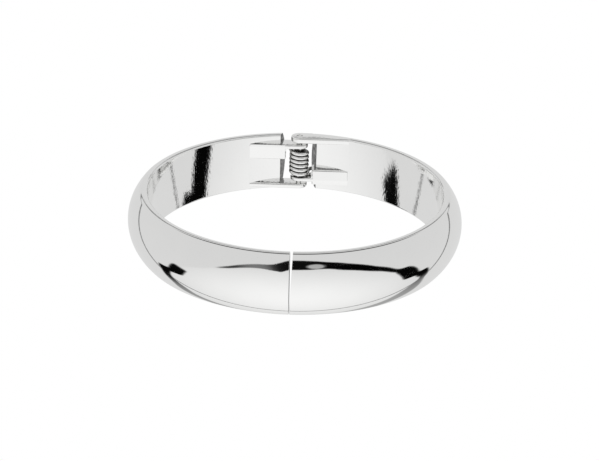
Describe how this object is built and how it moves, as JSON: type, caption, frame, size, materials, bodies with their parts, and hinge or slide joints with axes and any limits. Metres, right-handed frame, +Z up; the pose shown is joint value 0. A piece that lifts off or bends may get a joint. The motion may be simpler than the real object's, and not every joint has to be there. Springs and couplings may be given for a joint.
{
  "type": "hinged bangle bracelet",
  "caption": "Domed mirror-polished bangle bracelet in two hinged halves, held shut by a coiled spring at the back and opening at a plain front split.",
  "frame": {"origin": "on the bangle's axis, in the plane of its lower rim, which it lies on", "axes": "+Z up along the wrist opening, +Y to the hinge, -Y to the front split, +X to the right half"},
  "size_m": [0.0658, 0.0657, 0.0122],
  "materials": {
    "left_band": "silver-tone plate, mirror polished",
    "right_band": "silver-tone plate, mirror polished",
    "pin_steel": "plated wire with riveted ends",
    "spring_wire": "bright spring wire"
  },
  "bodies": {
    "fixed_half": {"right_half": "right_band", "hinge_pin": "pin_steel", "torsion_spring": "spring_wire"},
    "opening_half": {"left_half": "left_band"}
  },
  "joints": [
    {"name": "back_hinge", "type": "hinge", "parent": "fixed_half", "child": "opening_half", "pos_m": [0, 0.02875, 0.0061], "axis": [0, 0, 1], "range_deg": [-50, 0], "stiffness_Nm_per_rad": 0.082, "springref_deg": 20.05, "deforming": ["torsion_spring"]}
  ]
}
